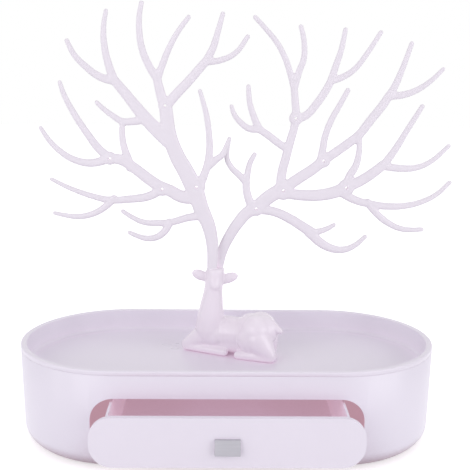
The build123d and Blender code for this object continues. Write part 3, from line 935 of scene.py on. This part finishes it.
@dataclass
class Deer:
    """Deer lying with folded legs, its neck straight up."""

    head: Head
    x: float = 3.3
    y: float = 11.6
    floor: float = 48.5
    turn: float = -24.5
    voxel: float = 0.55
    smoothing: int = 14
    ear_width: float = 7.0
    ear_thickness: float = 3.4

    def build(self) -> bpy.types.Object:
        """Makes the deer.

        Returns:
            The finished piece.
        """
        shape = bmesh.new()
        self.trunk(shape)
        for side in (-1, 1):
            self.legs(shape, side)
        stand = Matrix.Translation(Vector((self.x, self.y, self.floor)) * MM)
        stand @= Matrix.Rotation(math.radians(self.turn), 4, "Z")
        bmesh.ops.transform(shape, matrix=stand, verts=shape.verts)
        self.neck(shape)
        self.face(shape)
        body = fuse(put(shape, "deer_figure"), self.voxel, self.smoothing)
        for corner in body.data.vertices:
            corner.co.z = max(corner.co.z, self.floor * MM)
        body.data.shade_smooth()
        return finish_piece(body, Coat.DEER, "base", "deer")

    def trunk(self, shape: bmesh.types.BMesh) -> None:
        """Adds chest, barrel, belly, rump and tail, in the deer's own frame.

        Args:
            shape: the bmesh that takes them.
        """
        muscle(shape, Vector((-13, 0, 12.5)), Vector((-2, 0, 13.8)), 10.3, 10.4)
        muscle(shape, Vector((-1, 0, 13.8)), Vector((16, 0, 14.4)), 10.0, 10.7)
        muscle(shape, Vector((-10, 0, 9.0)), Vector((17, 0, 9.2)), 8.8, 9.0)
        muscle(shape, Vector((14, 0, 17)), Vector((21, 0, 17.6)), 11.0, 10.2)
        muscle(shape, Vector((25, 0, 22.0)), Vector((34, 0, 18.5)), 4.8, 1.6)

    def legs(self, shape: bmesh.types.BMesh, side: int) -> None:
        """Adds the thigh, hock, hind foot and folded foreleg of one side.

        Args:
            shape: the bmesh that takes them.
            side: -1 for the near side, 1 for the far side.
        """
        tucked = 6 if side > 0 else 0
        muscle(shape, Vector((16, side * 4.0, 13)), Vector((18.5, side * 3.7, 18.2)), 10.4, 10.3)
        muscle(shape, Vector((-10, side * 4.6, 13)), Vector((-17, side * 5.2, 12.2)), 8.2, 7.0)
        muscle(shape, Vector((-17, side * 5.2, 12.2)), Vector((-29.5, side * 7.6, 4.3)), 7.0, 3.2)
        muscle(shape, Vector((-29.2, side * 7.7, 3.0)), Vector((-1.6, side * 8.8, 2.4)), 3.0, 2.6)
        muscle(shape, Vector((20, side * 5.4, 13.4)), Vector((31 - tucked, side * 8.0, 3.9)), 9.4, 3.4)
        hoof = Vector((8.6 - tucked, side * 10.0, 2.4))
        muscle(shape, Vector((30.6 - tucked, side * 8.2, 2.8)), hoof, 3.0, 2.8)

    def neck(self, shape: bmesh.types.BMesh) -> None:
        """Adds the neck and head as one lofted column.

        Args:
            shape: the bmesh that takes them.
        """
        x, y, top = self.head.x, self.head.y, self.head.top
        # Middle X, height, half width and half depth of each section.
        sections = [
            (x - 0.5, self.floor + 7, 4.5, 4.5),
            (x - 1.6, self.floor + 11, 8.2, 7.6),
            (x - 2.3, self.floor + 16, 9.3, 8.8),
            (x - 1.7, self.floor + 24, 8.7, 8.4),
            (x - 1.2, self.floor + 32, 7.5, 7.8),
            (x - 0.2, self.floor + 41, 6.1, 7.1),
            (x + 0.5, self.floor + 48, 5.8, 6.9),
            (x + 1.0, top - 2.4, 5.9, 7.0),
            (x + 1.2, top - 0.6, 5.8, 6.6),
            (x + 1.3, top + 0.3, 5.2, 5.6),
        ]
        rings = []
        for middle, height, wide, deep in sections:
            place = Matrix.Translation(Vector((middle, y, height)) * MM) @ Matrix.Diagonal((wide, deep, 1, 1))
            ring = bmesh.ops.create_circle(shape, cap_ends=False, segments=40, radius=MM, matrix=place)
            rings.append(ring["verts"])
        for low, high in zip(rings, rings[1:]):
            edges = {e for v in (*low, *high) for e in v.link_edges if len(e.link_faces) < 2}
            loops = [e for e in edges if abs(e.verts[0].co.z - e.verts[1].co.z) < LEVEL]
            bmesh.ops.bridge_loops(shape, edges=loops)
        for ring in (rings[0], rings[-1]):
            shape.faces.new(ring)

    def face(self, shape: bmesh.types.BMesh) -> None:
        """Adds the muzzle and the two leaf-shaped ears.

        Args:
            shape: the bmesh that takes them.
        """
        x, y, top = self.head.x, self.head.y, self.head.top
        muscle(shape, Vector((x + 0.6, y - 2.6, top - 6.5)), Vector((x + 0.8, y - 4.6, top - 10.5)), 4.7, 3.6)
        for root, tip in (
            (Vector((x - 3.0, y, top - 7.2)), Vector((x - 14.0, y - 0.4, top - 2.3))),
            (Vector((x + 3.4, y, top - 8.8)), Vector((x + 16.0, y - 0.4, top - 4.4))),
        ):
            run = tip - root
            turn = run.to_track_quat("X", "Y").to_matrix().to_4x4()
            leaf = Matrix.Translation((root + tip) / 2 * MM) @ turn
            leaf @= Matrix.Diagonal((run.length / 2, self.ear_width / 2, self.ear_thickness / 2, 1))
            bmesh.ops.create_icosphere(shape, subdivisions=4, radius=MM, matrix=leaf)


# ---------------------------------------------------------------- antlers
# A branch is its points from root to tip, its width at the root and its width at the tip. A
# fork is a point and the radius of the ball that fills it. Points are (x, z) from the top of
# the head, in millimetres.
Branch = tuple[list[Point], float, float]
Fork = tuple[Point, float]


@dataclass
class Antler:
    """One of the two trees of tines, flattened to its plane."""

    name: str
    node: str
    head: Head
    plane_y: float
    peg_x: float
    branches: list[Branch]
    forks: list[Fork]
    half_thickness: float = 2.5
    fuller: float = 0.35
    eye: float = 1.8
    sunk: float = 1.0
    peg: float = 3.6
    peg_length: float = 8.0
    peg_root: float = 1.0
    eye_depth: float = 12.0
    trim: tuple[float, float, float] = (40.0, 12.0, 20.0)
    voxel: float = 0.5
    smoothing: int = 5
    widest: float = 142.1
    highest: float = 271.2

    def build(self) -> bpy.types.Object:
        """Makes the antler.

        Returns:
            The finished piece.
        """
        rods = settle(self.rods())
        shape = bmesh.new()
        shape.from_mesh(rods.data)
        bpy.data.objects.remove(rods)
        for points, root, tip in self.branches:
            ball(shape, self.spot(points[0]), (root + self.fuller) / 2)
            ball(shape, self.spot(points[-1]), (tip + self.fuller) / 2)
        for place, radius in self.forks:
            ball(shape, self.spot(place), radius)
        middle, limit = self.plane_y * MM, self.half_thickness * MM
        for corner in shape.verts:
            corner.co.y = middle + limit * math.tanh((corner.co.y - middle) / limit)
            corner.co.x = min(corner.co.x, self.widest * MM)
            corner.co.z = min(corner.co.z, self.highest * MM)
        tree = fuse(put(shape, self.name), self.voxel, self.smoothing)
        tree = combine(tree, self.below_head(), "DIFFERENCE", "MANIFOLD")
        tree = combine(tree, self.eyes(), "DIFFERENCE", "MANIFOLD")
        tree = combine(tree, self.peg_block(), "UNION", "MANIFOLD")
        tree.data.shade_smooth()
        return finish_piece(tree, Coat.ANTLER, "base", self.node)

    def spot(self, place: Point) -> Vector:
        """A place on the antler's plane, in millimetres."""
        return Vector((self.head.x + place[0], self.plane_y, self.head.top + place[1]))

    def rods(self) -> bpy.types.Object:
        """The branches as tapering round rods along smooth curves.

        Returns:
            The curve object.
        """
        curve = bpy.data.curves.new(self.name + "_rods", "CURVE")
        curve.dimensions = "3D"
        curve.bevel_depth = MM
        curve.bevel_resolution = 6
        curve.resolution_u = 6
        curve.use_fill_caps = True
        for points, root, tip in self.branches:
            strand = curve.splines.new("BEZIER")
            strand.bezier_points.add(len(points) - 1)
            strand.resolution_u = 6
            strand.radius_interpolation = "LINEAR"
            for step, (knot, place) in enumerate(zip(strand.bezier_points, points)):
                knot.co = self.spot(place) * MM
                knot.handle_left_type = knot.handle_right_type = "AUTO"
                knot.radius = (root + (tip - root) * step / (len(points) - 1) + self.fuller) / 2
        rods = bpy.data.objects.new(curve.name, curve)
        bpy.context.scene.collection.objects.link(rods)
        return rods

    def below_head(self) -> bpy.types.Object:
        """The block that trims the root just inside the top of the head.

        Returns:
            The cutter.
        """
        shape = bmesh.new()
        middle = Vector((self.head.x, self.plane_y, self.head.top - self.sunk - self.trim[2] / 2))
        add_block(shape, middle, self.trim)
        return put(shape, self.name + "_trim")

    def peg_block(self) -> bpy.types.Object:
        """The square peg that goes into the head, from just above the head's top.

        Returns:
            The peg.
        """
        shape = bmesh.new()
        height = self.peg_length + self.peg_root
        middle = Vector((self.head.x + self.peg_x, self.plane_y, self.head.top + self.peg_root - height / 2))
        add_block(shape, middle, (self.peg, self.peg, height))
        return put(shape, self.name + "_peg")

    def eyes(self) -> bpy.types.Object:
        """Cutters for the small hook holes at the forks.

        Returns:
            All of them as one object.
        """
        shape = bmesh.new()
        for place, _ in self.forks:
            add_post(shape, self.spot(place), self.eye / 2, self.eye_depth, segments=20, lying=True)
        return put(shape, self.name + "_eyes")


LEFT_LIMBS: list[Branch] = [
    ([(-1, -1), (-0.8, 14), (-3, 27), (-8, 39), (-12, 51)], 6.0, 11.0),
    ([(-12, 51), (-17.5, 62), (-24, 74), (-28, 86), (-30, 101)], 11.0, 8.0),
    ([(-30, 101), (-32.5, 108), (-35.5, 120)], 7.0, 5.0),
    ([(-30, 103), (-23.5, 110.5), (-15, 119.5), (-8.5, 127), (-5, 131)], 6.0, 5.0),
    ([(-29, 82), (-40, 92.5), (-46, 99.5), (-52, 107), (-61.5, 118.5)], 9.0, 5.5),
    ([(-12, 46), (-20, 46.5), (-28, 50.5), (-34, 53), (-41.5, 58), (-50, 64.5), (-58, 69.5),
      (-66, 70.5)], 8.0, 6.0),
]
LEFT_TINES: list[Branch] = [
    ([(-35.5, 120), (-40, 127), (-44.5, 138), (-46, 149), (-45.8, 157.5), (-44.5, 165)], 5.0, 2.7),
    ([(-35, 120), (-32.3, 127.5), (-28, 138), (-22.5, 148), (-16, 156.7)], 4.5, 2.7),
    ([(-5.5, 130), (-1, 139), (2, 149), (4.8, 159)], 5.0, 2.6),
    ([(-5, 130), (4.4, 131.5), (13, 136), (20, 145.5)], 4.0, 2.7),
    ([(-61.5, 118), (-64.7, 127), (-67.2, 138.5), (-67.6, 150), (-66, 160)], 5.4, 2.4),
    ([(-61, 118), (-70.3, 120.5), (-79.3, 127), (-86, 134), (-90, 142)], 5.2, 2.7),
    ([(-42, 95), (-50.5, 93.5), (-57, 93.5), (-63, 97), (-69, 101.5), (-72.6, 105)], 5.0, 2.4),
    ([(-57, 94), (-57.2, 85), (-56, 77), (-53.5, 69.5), (-52.5, 65)], 3.0, 5.5),
    ([(-65, 70.5), (-71, 75.5), (-79, 86), (-87.3, 99), (-93, 110.5), (-95, 117)], 5.6, 2.4),
    ([(-66, 70), (-76.3, 67.5), (-86.2, 69), (-96, 74.7), (-103, 82), (-107.5, 89)], 5.4, 2.4),
    ([(-32, 52), (-40.3, 47), (-53, 44.8), (-65.4, 44.2), (-78, 47), (-90.4, 51.5),
      (-101.7, 57)], 5.8, 2.2),
    ([(-63, 45), (-68.7, 39.6), (-77, 35), (-86, 33.4), (-94, 34.2), (-100.4, 35.6)], 4.6, 2.2),
    ([(-6, 34.5), (-16.5, 33.2), (-26.5, 30.3), (-35.3, 29.6), (-44.8, 30.2), (-51.7, 33.3),
      (-57.4, 37)], 5.0, 2.5),
    ([(-28, 30), (-31, 24.5), (-36, 20.6), (-42.4, 19.6), (-48, 21), (-53.4, 23.3)], 5.0, 2.5),
    ([(-11, 49), (-7, 58.5), (-4, 68), (-3, 76), (-3.3, 85.5), (-5, 98), (-6.8, 105),
      (-9, 112.5)], 5.6, 2.4),
    ([(-3.6, 66), (1, 70), (5, 73.2), (7.3, 78), (9.2, 83)], 4.8, 2.4),
]
LEFT_FORKS: list[Fork] = [((-30.5, 103.5), 4.4), ((-65, 70.5), 4.2), ((-32.5, 51.5), 4.6), ((-11, 53), 5.6)]
RIGHT_LIMBS: list[Branch] = [
    ([(3.1, -1), (3.7, 3), (5.7, 11), (9.8, 20), (15.5, 29), (21, 35.5), (27, 39)], 5.6, 8.0),
    ([(27, 39), (35, 46), (44, 51.5)], 8.5, 9.0),
    ([(42, 51), (43, 62), (45.3, 71.5), (47.6, 81), (50, 90), (51, 97), (50.2, 107),
      (49.4, 115.5)], 6.0, 4.2),
    ([(50.5, 95), (57.5, 98), (64, 105.5), (69.3, 113.5), (72.5, 119.5)], 5.0, 4.6),
    ([(45, 52), (55, 59), (62.5, 64), (69, 69.5)], 7.0, 6.6),
    ([(68.5, 69.3), (76, 74.4), (83.6, 80), (91, 86), (98, 95.3), (104.7, 104), (109, 110.5)], 5.8, 5.2),
    ([(45, 48.5), (58, 47.2), (67.5, 47.5), (77, 49.5), (84, 52.5)], 6.4, 8.0),
    ([(83, 52.5), (91.5, 56), (99.5, 61), (107, 67)], 7.0, 6.0),
    ([(28, 38), (39, 36.3), (49, 31.8), (57, 26.8), (63, 23)], 5.4, 6.6),
]
RIGHT_TINES: list[Branch] = [
    ([(49.4, 114.5), (46.7, 124), (43.4, 133), (38, 142.5), (31.3, 150.3), (24.6, 157.3)], 4.0, 2.7),
    ([(49.6, 114.5), (52.2, 124.5), (54.9, 132), (55.3, 139), (54.2, 147), (52.8, 152)], 4.2, 2.7),
    ([(72, 118.5), (75, 128.4), (78, 138), (80.3, 150.5)], 4.6, 2.7),
    ([(72, 119), (79.7, 121.8), (87, 126.8), (94, 136), (102.2, 149)], 4.2, 2.7),
    ([(44.5, 77.5), (39.4, 81), (33.7, 85.3), (28, 89)], 4.6, 4.6),
    ([(28, 89), (24.7, 96.5), (22, 105), (21, 115.3)], 4.6, 2.7),
    ([(28.5, 89), (21.7, 89.3), (16.6, 92.8), (12.2, 98.3), (10.6, 103)], 4.6, 2.4),
    ([(67, 69), (68.3, 76.2), (69.6, 84.5), (73, 94.5), (78, 104), (83, 113.5)], 4.8, 3.0),
    ([(108.5, 109.5), (112.3, 116.5), (116.3, 126.5), (121.6, 142.5)], 5.0, 2.7),
    ([(108.5, 110.3), (117, 111), (126.2, 114.2), (134.7, 120), (142, 127.2)], 4.8, 2.4),
    ([(91.4, 85), (91.4, 75), (89.8, 67), (85.6, 59), (84, 53)], 3.0, 5.6),
    ([(107, 66.5), (114, 76.6), (120.6, 88), (130, 104)], 5.2, 2.8),
    ([(106.5, 66.5), (117.8, 65), (127.4, 65.4), (136.7, 69.2), (148, 79.4)], 5.0, 2.5),
    ([(80.5, 49.5), (90, 44.5), (99.7, 42), (111.3, 40.5), (122.2, 41), (132.3, 43.5),
      (142.3, 48.8), (149.9, 56.2)], 5.4, 2.6),
    ([(98, 43), (105, 35), (111.7, 29.8), (119.6, 26.2), (126.8, 25.3), (133.6, 25.7)], 4.8, 2.6),
    ([(62.5, 23.2), (68.2, 24.1), (73.3, 26), (76.9, 28.2)], 4.2, 2.6),
    ([(61, 23.5), (69.7, 15.8), (77, 12.5), (83.4, 12), (91, 15), (97.3, 20.7)], 6.4, 2.6),
    ([(24.5, 38.5), (21.3, 47), (20.3, 53.5), (21, 60), (22.6, 67.6), (25.4, 73)], 5.6, 2.8),
    ([(20.6, 55), (15.7, 60), (10.6, 65), (8, 70.6), (8.3, 77), (9.5, 83)], 4.4, 2.3),
]
RIGHT_FORKS: list[Fork] = [
    ((51, 96), 4.4), ((69, 69.5), 4.6), ((84, 52.5), 5.4), ((44, 50.5), 6.4), ((27, 38.6), 5.0),
]


# ---------------------------------------------------------------- studio
@dataclass(frozen=True)
class Camera:
    """Camera of the reference view, in metres and radians."""

    place: tuple[float, float, float] = (-0.00509, -0.55501, 0.24002)
    yaw: float = 0.0170
    pitch: float = 0.1972
    roll: float = 0.0104
    focal_pixels: float = 905.55
    image_width: float = 470.0

    def build(self) -> None:
        """Makes the camera and hands it to the scene."""
        ahead = Vector((
            math.sin(self.yaw) * math.cos(self.pitch), math.cos(self.yaw) * math.cos(self.pitch),
            -math.sin(self.pitch),
        ))
        level = Vector((math.cos(self.yaw), -math.sin(self.yaw), 0))
        above = level.cross(ahead)
        right = math.cos(self.roll) * level + math.sin(self.roll) * above
        up = -math.sin(self.roll) * level + math.cos(self.roll) * above
        lens = bpy.data.cameras.new("camera")
        lens.sensor_width = 36.0
        lens.lens = self.focal_pixels / self.image_width * lens.sensor_width
        lens.clip_start = 0.01
        eye = bpy.data.objects.new("camera", lens)
        facing = Matrix((right, up, -ahead)).transposed().to_4x4()
        eye.matrix_world = Matrix.Translation(self.place) @ facing
        bpy.context.scene.collection.objects.link(eye)
        bpy.context.scene.camera = eye


@dataclass(frozen=True)
class Softbox:
    """A studio lamp of a given width and height, aimed at the object."""

    name: str
    place: tuple[float, float, float]
    width: float
    height: float
    power: float
    colour: Colour = (1.0, 1.0, 1.0)
    aim: tuple[float, float, float] = (0.0, 0.0, 0.1)

    def build(self) -> None:
        """Makes the lamp."""
        lamp = bpy.data.lights.new(self.name, "AREA")
        lamp.shape = "RECTANGLE"
        lamp.size = self.width
        lamp.size_y = self.height
        lamp.energy = self.power
        lamp.color = self.colour
        holder = bpy.data.objects.new(self.name, lamp)
        run = Vector(self.aim) - Vector(self.place)
        turn = run.to_track_quat("-Z", "Y").to_matrix().to_4x4()
        holder.matrix_world = Matrix.Translation(self.place) @ turn
        bpy.context.scene.collection.objects.link(holder)


@dataclass(frozen=True)
class Studio:
    """Plain pale floor, white surroundings and soft lamps."""

    floor_size: float = 5.0
    floor_colour: Colour = (0.86, 0.86, 0.87)
    floor_lift: float = 0.55
    surroundings: Colour = (0.97, 0.96, 1.0)
    strength: float = 0.66
    lamps: tuple[Softbox, ...] = (
        Softbox("key_lamp", (-1.0, -1.3, 0.65), 1.0, 1.0, 6.2, (1.0, 0.99, 1.0)),
        Softbox("fill_lamp", (1.3, -1.1, 0.55), 0.9, 0.9, 5.8, (0.99, 0.99, 1.0)),
        Softbox("top_lamp", (0.0, 0.5, 1.5), 1.2, 1.2, 2.2),
        Softbox("left_strip", (-1.4, -0.5, 0.6), 0.15, 1.2, 2.0),
        Softbox("right_strip", (1.4, -0.5, 0.6), 0.15, 1.2, 2.0),
    )

    def build(self) -> None:
        """Makes the floor, the world and the lamps."""
        self.world()
        self.floor()
        for lamp in self.lamps:
            lamp.build()
        bpy.context.scene.view_settings.view_transform = "Standard"

    def seen_directly(self, tree: bpy.types.NodeTree) -> bpy.types.NodeSocket:
        """Tells which rays see the plain white surroundings.

        Args:
            tree: the node tree.

        Returns:
            A value of 1 for rays from the camera, a glossy bounce or through glass, else 0.
        """
        path = add_node(tree, "LightPath")
        seen = path.outputs["Is Camera Ray"]
        for way in ("Is Glossy Ray", "Is Transmission Ray"):
            seen = add_node(tree, "Math", seen, path.outputs[way], operation="MAXIMUM").outputs[0]
        return seen

    def world(self) -> None:
        """Soft light all round, plain white where the camera sees it."""
        sky = bpy.data.worlds.new("surroundings")
        sky.use_nodes = True
        tree = sky.node_tree
        light = tree.nodes["Background"]
        light.inputs["Color"].default_value = (*self.surroundings, 1.0)
        light.inputs["Strength"].default_value = self.strength
        white = add_node(tree, "Background", (1.0, 1.0, 1.0, 1.0), Strength=1.0)
        mix = add_node(tree, "MixShader", self.seen_directly(tree), light.outputs[0], white.outputs[0])
        tree.links.new(mix.outputs[0], tree.nodes["World Output"].inputs["Surface"])
        bpy.context.scene.world = sky

    def floor(self) -> None:
        """A wide matt floor that keeps the object's soft shadow."""
        shape = bmesh.new()
        bmesh.ops.create_grid(shape, x_segments=1, y_segments=1, size=self.floor_size / 2)
        ground = put(shape, "floor")
        material, tree, shader = new_nodes("floor_white")
        place = add_node(tree, "TexCoord")
        clouds = add_node(tree, "TexNoise", place.outputs["Object"], Scale=3.0)
        rough = add_node(tree, "MapRange", clouds.outputs["Fac"], To_Min=0.85, To_Max=0.95)
        lift = add_node(tree, "Math", self.seen_directly(tree), self.floor_lift, operation="MULTIPLY")
        feed(tree, shader.inputs["Roughness"], rough.outputs["Result"])
        feed(tree, shader.inputs["Emission Strength"], lift.outputs[0])
        shader.inputs["Base Color"].default_value = (*self.floor_colour, 1.0)
        shader.inputs["Specular IOR Level"].default_value = 0.1
        shader.inputs["Emission Color"].default_value = (1.0, 1.0, 1.0, 1.0)
        ground.data.materials.append(material)


# ---------------------------------------------------------------- hidden hardware
HARDWARE = {
    "left_runner": Coat.RUNNER,
    "right_runner": Coat.RUNNER,
    "rubber_feet": Coat.FOOT,
    "tray_screws": Coat.SCREW,
    "deer_screws": Coat.SCREW,
    "runner_screws": Coat.SCREW,
    "drawer_screws": Coat.SCREW,
}


def dress_hardware(frame: dict) -> None:
    """Gives the runners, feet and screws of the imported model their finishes.

    Args:
        frame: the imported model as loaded.
    """
    for node, coat in HARDWARE.items():
        for holder in frame["nodes"][node].material_slots:
            holder.material = MATERIALS[coat]
        LOG.info("%s: %s", node, coat.value)


def main() -> None:
    """Builds the camera, the studio and every piece, in order."""
    logging.basicConfig(level=logging.INFO, format="%(name)s %(message)s")
    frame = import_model()
    Camera().build()
    Studio().build()
    for coat, finish in FINISHES.items():
        MATERIALS[coat] = finish.build()
    shell, opening, posts, head = Shell(), Opening(), PostSet(), Head()
    Casing(shell, opening, posts).build()
    Tray(shell, posts).build()
    Drawer(shell, opening).build()
    Deer(head).build()
    left, right = LEFT_LIMBS + LEFT_TINES, RIGHT_LIMBS + RIGHT_TINES
    Antler("left_antler_tree", "left_antler", head, 9.6, -1.0, left, LEFT_FORKS).build()
    Antler("right_antler_tree", "right_antler", head, 14.9, 2.6, right, RIGHT_FORKS).build()
    dress_hardware(frame)


if __name__ == "__main__":
    main()
